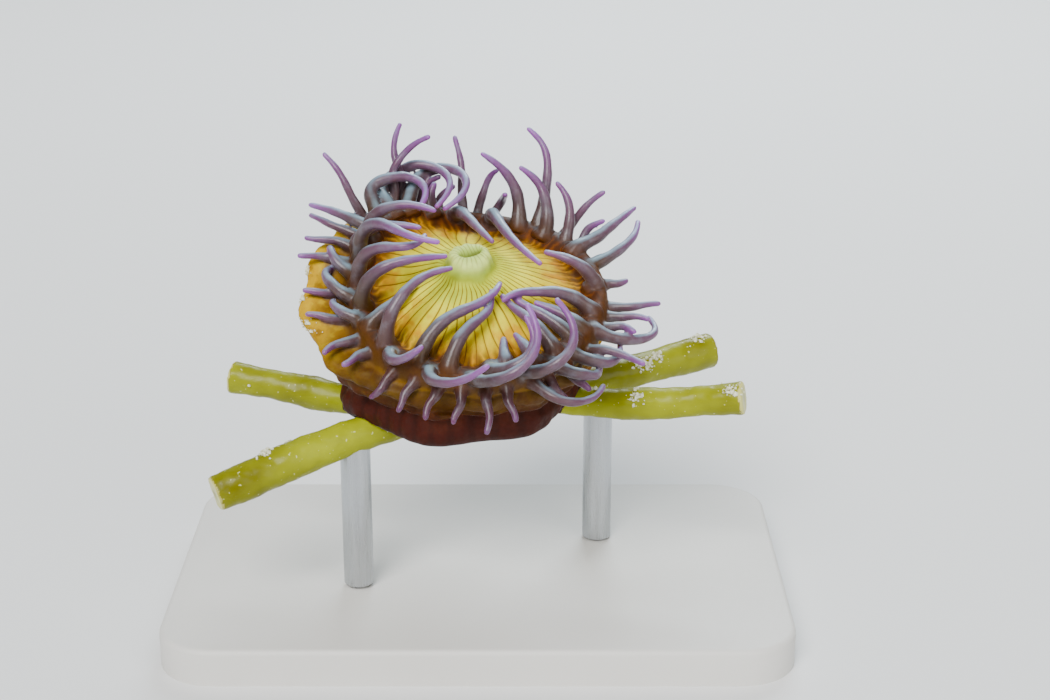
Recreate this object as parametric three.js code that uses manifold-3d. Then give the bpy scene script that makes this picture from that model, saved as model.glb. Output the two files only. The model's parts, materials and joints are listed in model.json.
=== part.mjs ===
// A small sea anemone that clasps a forked length of seaweed stem, on a display stand.
// Millimetres, +Z up, -Y is the front; the origin is the centre of the stand base's underside.
import * as THREE from "three";
import { mergeVertices } from "three/addons/utils/BufferGeometryUtils.js";
import Module from "manifold-3d";

const wasm = await Module();
wasm.setup();

// Driving dimensions.
const gap = 0.3; // between neighbouring solids
const rimRadius = 12.8; // middle row of tentacle roots
const rimTilt = 19; // degrees the disc leans to the front
const discRadius = rimRadius - 0.5;
const discRise = 5.6; // of the cone, from the rim to the mouth
const mouthRadius = 2.6;
const mouthHeight = 1.7;
const mouthSlit = { length: 2.7, width: 0.56, depth: 2, turn: 18 };
const footRadius = 12.6;
const footShift = -2.2; // the foot sits left of the rim
const footBack = 1.5;
const footTilt = 6;
const footDepth = 3.6;
const collarDepth = 2.2;
const stemRadius = 1.9;
const branchRadius = 1.7;
const perchHeight = 22.8; // the stem's middle line above the floor
const rimHeight = perchHeight + 11.9; // centre of the rim above the floor
const basePlate = { width: 66, depth: 42, thickness: 4, corner: 6, bevel: 0.6 };
const rodRadius = 1.6;
const rodSink = 1.2; // how far a rod's end goes into the stem
const sectorCount = 12;
const tubeSides = 5;

const degrees = THREE.MathUtils.degToRad;
const ease = THREE.MathUtils.smoothstep;

function finish(color, roughness) {
  return new THREE.MeshStandardMaterial({ color, roughness, metalness: 0 });
}

const materials = {
  disc: finish(0xe0d878, 0.45),
  mouth: finish(0xdcecb4, 0.35),
  tentacle: finish(0x8c8096, 0.3),
  column: finish(0x8a3a18, 0.5),
  collar: finish(0xd87a1c, 0.5),
  stem: finish(0x6b5a14, 0.5),
  branch: finish(0xb4b41e, 0.45),
  stand: finish(0xe8e6e0, 0.4),
  rod: finish(0xb8bcc0, 0.3),
};

// Booleans.

function solidOf(geometry) {
  const bare = geometry.clone();
  bare.deleteAttribute("normal");
  bare.deleteAttribute("uv");
  const merged = mergeVertices(bare, 1e-4);
  return new wasm.Manifold(
    new wasm.Mesh({
      numProp: 3,
      vertProperties: new Float32Array(merged.attributes.position.array),
      triVerts: new Uint32Array(merged.index.array),
    }),
  );
}

function geometryOf(solid) {
  const mesh = solid.getMesh();
  const geometry = new THREE.BufferGeometry();
  geometry.setAttribute("position", new THREE.BufferAttribute(mesh.vertProperties, 3));
  geometry.setIndex(new THREE.BufferAttribute(mesh.triVerts, 1));
  return geometry;
}

function meshOf(name, solid, material) {
  const geometry = geometryOf(solid).toNonIndexed();
  geometry.computeVertexNormals();
  const mesh = new THREE.Mesh(geometry, material);
  mesh.name = name;
  return mesh;
}

// Closed skins.

// Rings of points from bottom to top, each closed on itself, with both ends capped.
function loft(rings) {
  const sides = rings[0].length;
  const positions = rings.flat().flatMap((point) => point.toArray());
  const index = [];
  for (let ring = 0; ring < rings.length - 1; ring++)
    for (let side = 0; side < sides; side++) {
      const next = (side + 1) % sides;
      const low = ring * sides;
      const high = low + sides;
      index.push(low + side, low + next, high + next);
      index.push(low + side, high + next, high + side);
    }
  const centreOf = (ring) =>
    ring.reduce((sum, point) => sum.add(point), new THREE.Vector3()).divideScalar(sides);
  const bottom = rings.length * sides;
  const last = bottom - sides;
  positions.push(...centreOf(rings[0]).toArray(), ...centreOf(rings.at(-1)).toArray());
  for (let side = 0; side < sides; side++) {
    const next = (side + 1) % sides;
    index.push(bottom, next, side, bottom + 1, last + side, last + next);
  }
  const geometry = new THREE.BufferGeometry();
  geometry.setAttribute("position", new THREE.Float32BufferAttribute(positions, 3));
  geometry.setIndex(index);
  return geometry;
}

// A tube through points, with a radius for each, whose rings turn as little as they can.
function tube(points, radii, sides) {
  let across = new THREE.Vector3(0, 0, 1);
  const rings = points.map((point, i) => {
    const along = points[Math.min(i + 1, points.length - 1)]
      .clone()
      .sub(points[Math.max(i - 1, 0)])
      .normalize();
    if (i === 0 && Math.abs(along.z) > 0.9) across.set(1, 0, 0);
    across = across.clone().addScaledVector(along, -across.dot(along)).normalize();
    const up = along.clone().cross(across);
    return Array.from({ length: sides }, (_, side) => {
      const angle = (side / sides) * 2 * Math.PI;
      return point
        .clone()
        .addScaledVector(across, radii[i] * Math.cos(angle))
        .addScaledVector(up, radii[i] * Math.sin(angle));
    });
  });
  return loft(rings);
}

function ringAt(radiusOf, height, count) {
  return Array.from({ length: count }, (_, i) => {
    const angle = (i / count) * 2 * Math.PI;
    const radius = radiusOf(angle);
    return new THREE.Vector3(radius * Math.cos(angle), radius * Math.sin(angle), height);
  });
}

// The crown's own frame: the rim is its XY plane, and the mouth faces its +Z.
const crown = new THREE.Group();
crown.position.set(0, 0, rimHeight);
crown.rotation.x = degrees(rimTilt);
crown.updateMatrix();

// The foot's own frame: its top is the XY plane.
const foot = new THREE.Group();
foot.position.set(footShift, footBack, perchHeight + footDepth);
foot.rotation.x = degrees(footTilt);
foot.updateMatrix();

// The perch's own frame: its origin is the stem's middle, under the rim's centre.
const perch = new THREE.Group();
perch.position.set(0, 0, perchHeight);
perch.updateMatrix();

// Tentacles. Round the disc 0 is right, 90 back, 180 left and 270 front. A path starts outwards
// from its root at `at`, swings by `turn` along its length, and its tip swings by `hook` more.
// Each pose has the rise above the rim plane at root, middle and tip; past 90 it leans inwards.
const poses = {
  fold: [70, 165, 190],
  arch: [25, 5, -20],
  lay: [115, 178, 184],
  trail: [-10, -20, 10],
  hook: [35, 20, 40],
  spread: [20, 5, 0],
  rear: [55, 50, 20],
  droop: [-10, -30, -40],
};

const rows = {
  inner: { reach: -0.6, height: 0.5, width: 1.75 },
  middle: { reach: 0, height: -0.1, width: 1.55 },
  outer: { reach: 0.6, height: -0.8, width: 1.25 },
};

const tipWidth = 0.58;
const taper = 1.1; // above 1 a tentacle stays thick for longer

// The rim is a ring, a little deeper than wide, that one wave lifts at the back left.
const rimStretch = 1.06;
const waveAt = 144;
const waveLift = 3.4;
const waveReach = 0.8;

function waveOf(angle) {
  return Math.max(0, Math.cos(angle - degrees(waveAt))) ** 5;
}

function rimPoint(angle, reach, height) {
  const radius = rimRadius + reach + waveReach * waveOf(angle);
  const lift = height + waveLift * waveOf(angle);
  return new THREE.Vector3(radius * Math.cos(angle), rimStretch * radius * Math.sin(angle), lift);
}

function pose(row, kind, at, length, turn = 0, hook = 0) {
  return { row: rows[row], rises: poses[kind], at, length, turn, hook };
}

const tentacles = [
  // right
  pose("outer", "spread", 356, 6, -10, 30),
  pose("inner", "fold", 5, 8, -40, 10),
  pose("outer", "spread", 12, 3, -10),
  pose("middle", "spread", 22, 10, 50, 30),
  pose("outer", "spread", 28, 4, 0),
  pose("inner", "spread", 34, 10, 20),
  // back
  pose("outer", "rear", 39, 5, -20),
  pose("middle", "rear", 44, 8, 90, 40),
  pose("outer", "rear", 50, 8, -80, 60),
  pose("inner", "rear", 55, 9, 120, 10),
  pose("middle", "rear", 61, 13, 40, 70),
  pose("inner", "rear", 70, 10, 120, -10),
  pose("outer", "rear", 86, 8, -240, 20),
  pose("outer", "rear", 92, 8, -60, -120),
  pose("inner", "lay", 84, 17, 50),
  pose("outer", "rear", 98, 10, 0),
  pose("inner", "lay", 103, 11, 25),
  pose("outer", "rear", 110, 5, -100, -60),
  pose("inner", "rear", 115, 4, -60),
  pose("outer", "rear", 119, 6, -130),
  // back left
  pose("inner", "arch", 127, 19, -290, -10),
  pose("outer", "rear", 126, 11, -60),
  pose("inner", "arch", 136, 19, -280, -10),
  pose("outer", "rear", 132, 12, -160, -10),
  pose("inner", "arch", 144, 16, -270, -20),
  pose("outer", "rear", 145, 10, -10),
  pose("middle", "spread", 149, 8, 0, 20),
  pose("outer", "spread", 151, 7, 10),
  pose("inner", "fold", 155, 11, 40, -50),
  pose("outer", "spread", 158, 6, 20),
  pose("middle", "fold", 162, 10, 20, -20),
  pose("outer", "spread", 166, 6, 10),
  // left
  pose("inner", "fold", 167, 16, -70, 80),
  pose("middle", "spread", 173, 6, -100),
  pose("inner", "fold", 179, 14, -50, 150),
  pose("outer", "spread", 180, 5, 10),
  pose("middle", "arch", 186, 9, -150),
  pose("inner", "fold", 192, 13, -10, 10),
  pose("outer", "spread", 193, 5, -20),
  pose("middle", "arch", 199, 7, -150),
  pose("inner", "lay", 206, 7, 30),
  pose("outer", "spread", 206, 5, 30),
  pose("outer", "spread", 216, 4, 10),
  pose("inner", "fold", 221, 13, 20, -50),
  // front
  pose("middle", "hook", 228, 8, 190),
  pose("outer", "droop", 232, 4, -20),
  pose("inner", "lay", 241, 14, -70, 100),
  pose("outer", "droop", 243, 4, -20),
  pose("middle", "hook", 249, 12, 140),
  pose("outer", "droop", 254, 4, -20),
  pose("inner", "lay", 257, 11, -60, 70),
  pose("outer", "droop", 264, 4, -10),
  pose("middle", "hook", 268, 16, 240),
  pose("outer", "droop", 274, 5, 0),
  pose("inner", "hook", 277, 11, 240),
  pose("outer", "droop", 283, 4, 0),
  pose("inner", "lay", 284, 4, -20),
  pose("middle", "hook", 290, 14, 240),
  pose("outer", "trail", 295, 11, 160),
  // front right
  pose("inner", "lay", 298, 4, 10),
  pose("outer", "droop", 302, 4, 20),
  pose("middle", "trail", 306, 10, 180),
  pose("inner", "lay", 310, 9, 10, 10),
  pose("outer", "droop", 312, 4, 20),
  pose("middle", "trail", 317, 10, 160),
  pose("inner", "lay", 322, 8, 20),
  pose("outer", "spread", 326, 7, 10),
  pose("inner", "lay", 331, 6, 10),
  pose("middle", "trail", 336, 12, 110, 60),
  pose("outer", "spread", 342, 4, 0),
  pose("inner", "lay", 345, 11, 50),
  pose("outer", "spread", 350, 5, -10),
];

function directionAt(tentacle, share) {
  const [root, middle, tip] = tentacle.rises;
  const lerp = THREE.MathUtils.lerp;
  const rise = share < 0.5 ? lerp(root, middle, 2 * share) : lerp(middle, tip, 2 * share - 1);
  const swing = tentacle.turn * share + tentacle.hook * ease(share, 0.6, 1);
  const heading = degrees(tentacle.at + swing);
  const up = degrees(rise);
  const level = Math.cos(up);
  return new THREE.Vector3(level * Math.cos(heading), level * Math.sin(heading), Math.sin(up));
}

// The disc is a low cone inside the rim; `share` is 0 at its middle and 1 at its edge.
const mouthShift = -0.9;

function discHeight(angle, share) {
  const cone = discRise * (1 - Math.min(1, share)) ** 1.15;
  return cone + waveLift * waveOf(angle) * share ** 2;
}

function discHeightUnder(point) {
  const across = Math.hypot(point.x, point.y / rimStretch);
  const angle = Math.atan2(point.y, point.x);
  const share = across / discRadius;
  return share < 1.1 ? discHeight(angle, share) : -Infinity;
}

const fineStep = 0.4;
const stepsPerRing = 6;

// The points of a tentacle's middle line, from the rim to the tip.
function middleLine(tentacle) {
  const rings = Math.max(3, Math.round(tentacle.length / (fineStep * stepsPerRing)));
  const steps = rings * stepsPerRing;
  const point = rimPoint(degrees(tentacle.at), tentacle.row.reach, tentacle.row.height);
  const points = [point.clone()];
  for (let step = 0; step < steps; step++) {
    point.addScaledVector(directionAt(tentacle, (step + 0.5) / steps), tentacle.length / steps);
    points.push(point.clone());
  }
  return points;
}

// Half the thickness at a share of the length: a slim cone with a rounded tip.
function thicknessAt(tentacle, share) {
  const width = THREE.MathUtils.lerp(tentacle.row.width, tipWidth, share ** taper);
  return width / 2;
}

// Tentacles give way where they meet each other or the disc, and their roots stay put.
const clearance = 0.24;
const rootHold = 1.6;
const settleRounds = 90;
const longestPush = 0.15; // in one round
const ownReach = 4; // length over which a tentacle is not its own neighbour

function settle(lines) {
  const beads = lines.flatMap(({ tentacle, points }, line) =>
    points.map((point, i) => ({
      point,
      line,
      along: (i / (points.length - 1)) * tentacle.length,
      radius: thicknessAt(tentacle, i / (points.length - 1)),
      push: new THREE.Vector3(),
    })),
  );
  const apart = new THREE.Vector3();
  for (let round = 0; round < settleRounds; round++) {
    for (const bead of beads) bead.push.set(0, 0, 0);
    for (let i = 0; i < beads.length; i++)
      for (let j = i + 1; j < beads.length; j++) {
        const a = beads[i];
        const b = beads[j];
        if (a.line === b.line && Math.abs(a.along - b.along) < ownReach) continue;
        const room = a.radius + b.radius + clearance;
        apart.subVectors(a.point, b.point);
        const distance = apart.length();
        if (distance >= room || distance === 0) continue;
        apart.multiplyScalar((0.25 * (room - distance)) / distance);
        a.push.add(apart);
        b.push.sub(apart);
      }
    for (const bead of beads) {
      const low = discHeightUnder(bead.point) + bead.radius + clearance - bead.point.z;
      if (low > 0) bead.push.z += 0.5 * low;
      bead.push.clampLength(0, longestPush).multiplyScalar(ease(bead.along, 0.3, rootHold));
      bead.point.add(bead.push);
    }
    for (const { points } of lines)
      for (let i = 2; i < points.length - 1; i++)
        points[i].lerp(points[i - 1].clone().add(points[i + 1]).multiplyScalar(0.5), 0.2);
  }
}

const lines = tentacles.map((tentacle) => ({ tentacle, points: middleLine(tentacle) }));
settle(lines);

function tentacleGeometry({ tentacle, points }, grow = 0) {
  const kept = points.filter((_, i) => i % stepsPerRing === 0);
  const radii = kept.map((_, i) => thicknessAt(tentacle, i / (kept.length - 1)) + grow);
  radii[radii.length - 1] *= 0.6;
  return tube(kept, radii, tubeSides);
}

// Margin sectors, each with the tentacles that grow from it. Where two sectors' tentacles crowd
// each other, the later one gives room.
const rootRoom = 0.08;

const marginSection = [
  [-1.4, -1.6],
  [0.9, -1.6],
  [1.2, -0.6],
  [0.6, 0.8],
  [-0.6, 1],
  [-1.4, 0.5],
];

function marginWedge(sector) {
  const width = (2 * Math.PI) / sectorCount;
  const trim = gap / (2 * rimRadius);
  const slices = 5;
  const rings = Array.from({ length: slices }, (_, i) => {
    const share = i / (slices - 1);
    const angle = sector * width + trim + share * (width - 2 * trim);
    return marginSection.map(([reach, height]) => rimPoint(angle, reach, height)).reverse();
  });
  return loft(rings);
}

function addTentacles(group) {
  const width = 360 / sectorCount;
  const tubes = lines.map((line) => ({
    sector: Math.floor(line.tentacle.at / width),
    own: solidOf(tentacleGeometry(line)),
    room: solidOf(tentacleGeometry(line, rootRoom)),
  }));
  for (let sector = 0; sector < sectorCount; sector++) {
    let solid = solidOf(marginWedge(sector));
    for (const other of tubes) if (other.sector !== sector) solid = solid.subtract(other.room);
    for (const tube of tubes) if (tube.sector === sector) solid = solid.add(tube.own);
    for (const other of tubes) if (other.sector < sector) solid = solid.subtract(other.room);
    group.add(meshOf(`crown_sector_${sector + 1}`, solid, materials.tentacle));
  }
}

// The body bulges out and up into a shoulder at its left.
const shoulderAt = 176;
const shoulderReach = 5;
const shoulderLift = 0.25; // for each unit of reach

function shoulderOf(angle) {
  return shoulderReach * Math.max(0, Math.cos(angle - degrees(shoulderAt))) ** 2;
}

// The disc, its mouth, the collar under the tentacles, the column and the foot.
const bodySides = 36;
const ribCount = 18;

const rimRing = (reach, height, shoulder = 0) =>
  Array.from({ length: bodySides }, (_, i) => {
    const angle = (i / bodySides) * 2 * Math.PI;
    const out = shoulder * shoulderOf(angle);
    return rimPoint(angle, reach + out, height + shoulderLift * out);
  });

function addDisc(group) {
  const edge = -1.7;
  const shares = [0.97, 0.85, 0.7, 0.55, 0.4, 0.28];
  const rings = [rimRing(edge, -1.6), rimRing(edge, -0.2)];
  for (const share of shares)
    rings.push(
      Array.from({ length: bodySides }, (_, i) => {
        const angle = (i / bodySides) * 2 * Math.PI;
        const radius = (rimRadius + edge + waveReach * waveOf(angle)) * share;
        const fold = 0.07 * Math.cos(ribCount * angle) * share;
        const x = radius * Math.cos(angle) + mouthShift * (1 - share);
        const y = rimStretch * radius * Math.sin(angle);
        return new THREE.Vector3(x, y, discHeight(angle, share) - 0.1 + fold);
      }),
    );
  group.add(meshOf("oral_disc", solidOf(loft(rings)), materials.disc));
}

function addMouth(group) {
  const base = discHeight(0, 0.28) + gap;
  const profile = [
    [mouthRadius * 0.86, 0],
    [mouthRadius, 0.5],
    [mouthRadius * 0.97, 1.1],
    [mouthRadius * 0.72, mouthHeight],
    [mouthRadius * 0.3, mouthHeight + 0.25],
  ];
  const rings = profile.map(([radius, height]) =>
    ringAt((angle) => radius * (1 + 0.05 * Math.cos(5 * angle)), base + height, 20),
  );
  const knob = solidOf(loft(rings));
  const { length, width, depth, turn } = mouthSlit;
  const lens = new THREE.Shape().absellipse(0, 0, length / 2, width / 2, 0, 2 * Math.PI);
  const slit = new THREE.ExtrudeGeometry(lens, { depth, bevelEnabled: false, curveSegments: 8 });
  slit.rotateZ(degrees(turn));
  slit.translate(0.3, 0, base + 0.9);
  const mouth = meshOf("mouth", knob.subtract(solidOf(slit)), materials.mouth);
  mouth.position.x = mouthShift;
  group.add(mouth);
}

const collarTop = -1.6 - gap;
const collarBottom = collarTop - collarDepth;

function addCollar(group) {
  const rings = [
    rimRing(0.2, collarBottom, 0.9),
    rimRing(0.7, collarBottom + 0.7, 1),
    rimRing(0.9, collarTop - 0.6, 0.9),
    rimRing(0.7, collarTop - 0.1, 0.45),
    rimRing(0.3, collarTop),
  ];
  group.add(meshOf("collar", solidOf(loft(rings)), materials.collar));
}

const footRing = (radius, height, lobes) =>
  ringAt((angle) => radius + lobes * Math.cos(7 * angle), height, bodySides);

// The column joins the foot's frame to the crown's, so its rings are in the part's own.
function addColumn(group) {
  const top = rimRing(0.1, collarBottom - gap, 0.85).map((point) => point.applyMatrix4(crown.matrix));
  const bottom = footRing(footRadius - 0.2, gap, 0.3).map((point) => point.applyMatrix4(foot.matrix));
  const steps = 4;
  const rings = Array.from({ length: steps + 1 }, (_, i) => {
    const share = i / steps;
    const bulge = 0.6 * Math.sin(Math.PI * share);
    return bottom.map((low, side) => {
      const angle = (side / bodySides) * 2 * Math.PI;
      const swell = bulge * (1 + 0.35 * Math.cos(ribCount * angle));
      const point = low.clone().lerp(top[side], share);
      point.x += swell * Math.cos(angle);
      point.y += swell * Math.sin(angle);
      return point;
    });
  });
  group.add(meshOf("column", solidOf(loft(rings)), materials.column));
}

// The stem that the foot grips, its two forks, and what holds them up.
const stemRoute = [
  [-27, -12, -5.5],
  [-13, -6, -1.5],
  [0, 0, 0],
  [13, 6, 0.3],
  [26, 12, 1.6],
];
const leftRoute = [
  [-6, -2.4, -0.5],
  [-16, 0.6, 0.4],
  [-27, 3, 1.8],
];
const rightRoute = [
  [5, 2.4, 0],
  [16, -0.6, 0],
  [28, -4, 2],
];

function stemGeometry(route, radius, grow = 0) {
  const curve = new THREE.CatmullRomCurve3(route.map((point) => new THREE.Vector3(...point)));
  const steps = 8;
  const points = curve.getSpacedPoints(steps);
  const radii = points.map((_, i) => radius * (1 + 0.06 * Math.sin(i * 1.7)) + grow);
  return tube(points, radii, 8);
}

const stem = { name: "perch_stem", route: stemRoute, radius: stemRadius };
const branches = [
  { name: "perch_branch_left", route: leftRoute, radius: branchRadius },
  { name: "perch_branch_right", route: rightRoute, radius: branchRadius },
];
const gripped = [stem, ...branches];

// A rod stands under one point of the stem's route and ends inside its underside.
const rods = [
  { name: "stand_rod_left", under: stemRoute[1] },
  { name: "stand_rod_right", under: stemRoute[3] },
];
const rodFoot = basePlate.thickness + gap;

function rodGeometry(length, radius) {
  const rod = new THREE.CylinderGeometry(radius, radius, length, 16);
  return rod.rotateX(Math.PI / 2).translate(0, 0, length / 2);
}

// The hole for a rod's end, in the perch's own frame.
function rodSocket({ under: [x, y, z] }) {
  const length = 2 * (rodSink + gap);
  const socket = rodGeometry(length, rodRadius + gap);
  return solidOf(socket.translate(x, y, z - stemRadius - length / 2));
}

function addFoot(group) {
  const rings = [
    footRing(footRadius - 1.4, -footDepth, 0.5),
    footRing(footRadius, -footDepth + 1, 0.5),
    footRing(footRadius + 0.3, -1.2, 0.4),
    footRing(footRadius, 0, 0.3),
  ];
  const toFoot = foot.matrix.clone().invert().multiply(perch.matrix);
  let solid = solidOf(loft(rings));
  for (const { route, radius } of gripped) {
    const bed = stemGeometry(route, radius, gap).applyMatrix4(toFoot);
    solid = solid.subtract(solidOf(bed));
  }
  group.add(meshOf("pedal_disc", solid, materials.column));
}

function addPerch(group) {
  const sockets = rods.map(rodSocket);
  let main = solidOf(stemGeometry(stem.route, stem.radius));
  for (const socket of sockets) main = main.subtract(socket);
  group.add(meshOf(stem.name, main, materials.stem));
  const besideStem = solidOf(stemGeometry(stem.route, stem.radius, gap));
  for (const { name, route, radius } of branches) {
    let branch = solidOf(stemGeometry(route, radius)).subtract(besideStem);
    for (const socket of sockets) branch = branch.subtract(socket);
    group.add(meshOf(name, branch, materials.branch));
  }
}

function addStand(group) {
  const { width, depth, thickness, corner, bevel } = basePlate;
  const outline = new THREE.Shape();
  const x = width / 2 - bevel;
  const y = depth / 2 - bevel;
  outline.moveTo(-x + corner, -y);
  outline.absarc(x - corner, -y + corner, corner, -Math.PI / 2, 0);
  outline.absarc(x - corner, y - corner, corner, 0, Math.PI / 2);
  outline.absarc(-x + corner, y - corner, corner, Math.PI / 2, Math.PI);
  outline.absarc(-x + corner, -y + corner, corner, Math.PI, 1.5 * Math.PI);
  const plate = new THREE.ExtrudeGeometry(outline, {
    depth: thickness - bevel,
    bevelThickness: bevel,
    bevelSize: bevel,
    bevelSegments: 1,
    curveSegments: 4,
  });
  const floorCut = new THREE.BoxGeometry(2 * width, 2 * depth, 10).translate(0, 0, -5);
  group.add(meshOf("stand_base", solidOf(plate).subtract(solidOf(floorCut)), materials.stand));
  for (const { name, under } of rods) {
    const top = perchHeight + under[2] - stemRadius + rodSink;
    const rod = meshOf(name, solidOf(rodGeometry(top - rodFoot, rodRadius)), materials.rod);
    rod.position.set(under[0], under[1], rodFoot);
    group.add(rod);
  }
}

addPerch(perch);
addFoot(foot);
addCollar(crown);
addDisc(crown);
addMouth(crown);
addTentacles(crown);

const anemone = new THREE.Group();
addStand(anemone);
addColumn(anemone);
anemone.add(perch, foot, crown);

export default anemone;
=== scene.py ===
import json
import math

import bpy
import numpy as np
from mathutils import Matrix, Vector
from mathutils.bvhtree import BVHTree

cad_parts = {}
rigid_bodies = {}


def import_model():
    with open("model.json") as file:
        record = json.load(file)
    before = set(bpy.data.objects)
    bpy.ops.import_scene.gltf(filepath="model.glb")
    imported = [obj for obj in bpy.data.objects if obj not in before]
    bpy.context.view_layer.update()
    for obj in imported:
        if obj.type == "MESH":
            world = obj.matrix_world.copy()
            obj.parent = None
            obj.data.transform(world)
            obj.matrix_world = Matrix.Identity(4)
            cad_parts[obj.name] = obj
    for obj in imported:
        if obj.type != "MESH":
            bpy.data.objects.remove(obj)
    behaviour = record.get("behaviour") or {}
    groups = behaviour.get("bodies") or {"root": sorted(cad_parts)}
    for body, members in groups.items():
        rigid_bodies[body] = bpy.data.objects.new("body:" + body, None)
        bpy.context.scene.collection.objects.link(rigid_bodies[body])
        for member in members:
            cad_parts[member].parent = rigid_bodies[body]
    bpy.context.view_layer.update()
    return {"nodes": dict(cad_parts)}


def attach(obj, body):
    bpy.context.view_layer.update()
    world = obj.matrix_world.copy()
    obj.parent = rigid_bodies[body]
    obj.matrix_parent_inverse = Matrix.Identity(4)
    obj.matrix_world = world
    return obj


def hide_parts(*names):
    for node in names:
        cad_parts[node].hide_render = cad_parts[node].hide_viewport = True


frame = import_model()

mm = 0.001
tiny = 1e-12
rng = np.random.default_rng(7)


def pick(*objects):
    bpy.ops.object.select_all(action="DESELECT")
    for thing in objects:
        thing.select_set(True)
    bpy.context.view_layer.objects.active = objects[0]


def setPoints(thing, points):
    thing.data.vertices.foreach_set("co", np.asarray(points, dtype=np.float32).ravel())
    thing.data.update()


def readRows(items, name, width=3, kind=np.float32):
    values = np.empty(len(items) * width, dtype=kind)
    items.foreach_get(name, values)
    return values.reshape(-1, width)


def getPoints(thing):
    return readRows(thing.data.vertices, "co").astype(float)


def getNormals(thing):
    thing.data.update()
    return readRows(thing.data.vertices, "normal")


# One vector may be given for each point, or one for them all.
def setVectors(thing, name, values):
    old = thing.data.attributes.get(name)
    if old:
        thing.data.attributes.remove(old)
    layer = thing.data.attributes.new(name, "FLOAT_VECTOR", "POINT")
    values = np.broadcast_to(values, (len(thing.data.vertices), 3))
    layer.data.foreach_set("vector", values.astype(np.float32).ravel())


def getVectors(thing, name):
    return readRows(thing.data.attributes[name].data, "vector").astype(float)


def copyOf(master):
    made = master.copy()
    made.data = master.data.copy()
    bpy.context.collection.objects.link(made)
    return made


# Edit mode then starts with nothing selected, and selects points, edges or faces.
def clearSelection(mesh, kind):
    bpy.context.tool_settings.mesh_select_mode = [kind == each for each in ("points", "edges", "faces")]
    for parts in (mesh.polygons, mesh.edges, mesh.vertices):
        parts.foreach_set("select", [False] * len(parts))


def faceOutward(thing):
    pick(thing)
    bpy.ops.object.mode_set(mode="EDIT")
    bpy.ops.mesh.select_all(action="SELECT")
    bpy.ops.mesh.normals_make_consistent(inside=False)
    bpy.ops.object.mode_set(mode="OBJECT")


def applyNew(thing, kind, **settings):
    pick(thing)
    modifier = thing.modifiers.new(kind.lower(), kind)
    for name, value in settings.items():
        setattr(modifier, name, value)
    bpy.ops.object.modifier_apply(modifier=modifier.name)


# Cloud noise pushes a surface in and out, sizes in mm.
def roughen(thing, name, size, strength, group=""):
    clouds = bpy.data.textures.new(name, "CLOUDS")
    clouds.noise_scale = size * mm
    applyNew(thing, "DISPLACE", texture=clouds, texture_coords="LOCAL", strength=strength * mm,
             mid_level=0.5, vertex_group=group)


def lengths(vectors):
    return np.linalg.norm(vectors, axis=-1)


def unit(vectors):
    return vectors / np.maximum(lengths(vectors), tiny)[..., None]


def together(x, y, z):
    return np.stack(np.broadcast_arrays(x, y, z), -1)


# What overlaps becomes one closed skin, smoothed.
def fuse(thing, voxel, rounds):
    applyNew(thing, "REMESH", mode="VOXEL", voxel_size=voxel * mm)
    applyNew(thing, "SMOOTH", factor=0.5, iterations=rounds)


def smoothstep(value, low, high):
    share = np.clip((value - low) / (high - low), 0, 1)
    return share * share * (3 - 2 * share)


# The crown, its disc and the foot: the solids' sizes in mm, with the disc sunk a little.
perchHeight = 22.8
crown = dict(radius=12.8, height=perchHeight + 11.9, tilt=19, stretch=1.06, waveAt=144, waveLift=3.4,
             waveReach=0.8, waveSharpness=5, tipWidth=0.58, taper=1.1, shoulderAt=176, shoulderReach=5.0,
             shoulderLift=0.25)
disc = dict(radius=crown["radius"] - 0.5, rise=5.6, dome=1.15, sink=0.1, edge=-1.7, mouthShift=-0.9, lines=48)
foot = dict(radius=12.6, shift=-2.2, back=1.5, tilt=6, depth=3.6, lobes=7)


def tilted(degrees, place):
    return Matrix.Translation(place) @ Matrix.Rotation(math.radians(degrees), 4, "X")


crownPlace = tilted(crown["tilt"], (0, 0, crown["height"]))
footPlace = tilted(foot["tilt"], (foot["shift"], foot["back"], perchHeight + foot["depth"]))


def placed(points, place):
    turn = np.array(place.to_3x3())
    return np.asarray(points) @ turn.T + np.array(place.translation)


def waveOf(angle):
    return np.maximum(0, np.cos(angle - math.radians(crown["waveAt"]))) ** crown["waveSharpness"]


def rimPoints(angle, reach, height):
    wave = waveOf(angle)
    radius = crown["radius"] + reach + crown["waveReach"] * wave
    return together(radius * np.cos(angle), crown["stretch"] * radius * np.sin(angle),
                    height + crown["waveLift"] * wave)


def discHeight(angle, share):
    cone = disc["rise"] * (1 - np.minimum(1, share)) ** disc["dome"]
    return cone + crown["waveLift"] * waveOf(angle) * share ** 2


# The camera stands in front, raised by its elevation, and aims right of the crown's centre and below it.
camera = dict(elevation=20, distance=207, lens=67.2, sensor=36, clipStart=0.01, aimRight=4.9, aimDown=5.6)


def makeCamera():
    rise = math.radians(camera["elevation"])
    ahead = Vector((0, math.cos(rise), -math.sin(rise)))
    above = Vector((0, math.sin(rise), math.cos(rise)))
    aim = Vector((camera["aimRight"], 0, crown["height"])) - above * camera["aimDown"]
    bpy.ops.object.camera_add(location=(aim - ahead * camera["distance"]) * mm)
    made = bpy.context.object
    made.rotation_euler = ahead.to_track_quat("-Z", "Y").to_euler()
    made.data.lens = camera["lens"]
    made.data.sensor_width = camera["sensor"]
    made.data.clip_start = camera["clipStart"]
    bpy.context.scene.camera = made
    print("camera set")


makeCamera()

# A pose is how steeply a tentacle rises at its root, middle and tip, in degrees.
poses = {"fold": (70, 165, 190), "arch": (25, 5, -20), "lay": (115, 178, 184), "trail": (-10, -20, 10),
         "hook": (35, 20, 40), "spread": (20, 5, 0), "rear": (55, 50, 20), "droop": (-10, -30, -40)}
# A row is how far its roots stand out from the rim and above it, and its tentacles' width there.
rows = {"inner": (-0.6, 0.5, 1.75), "middle": (0, -0.1, 1.55), "outer": (0.6, -0.8, 1.25)}
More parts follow.
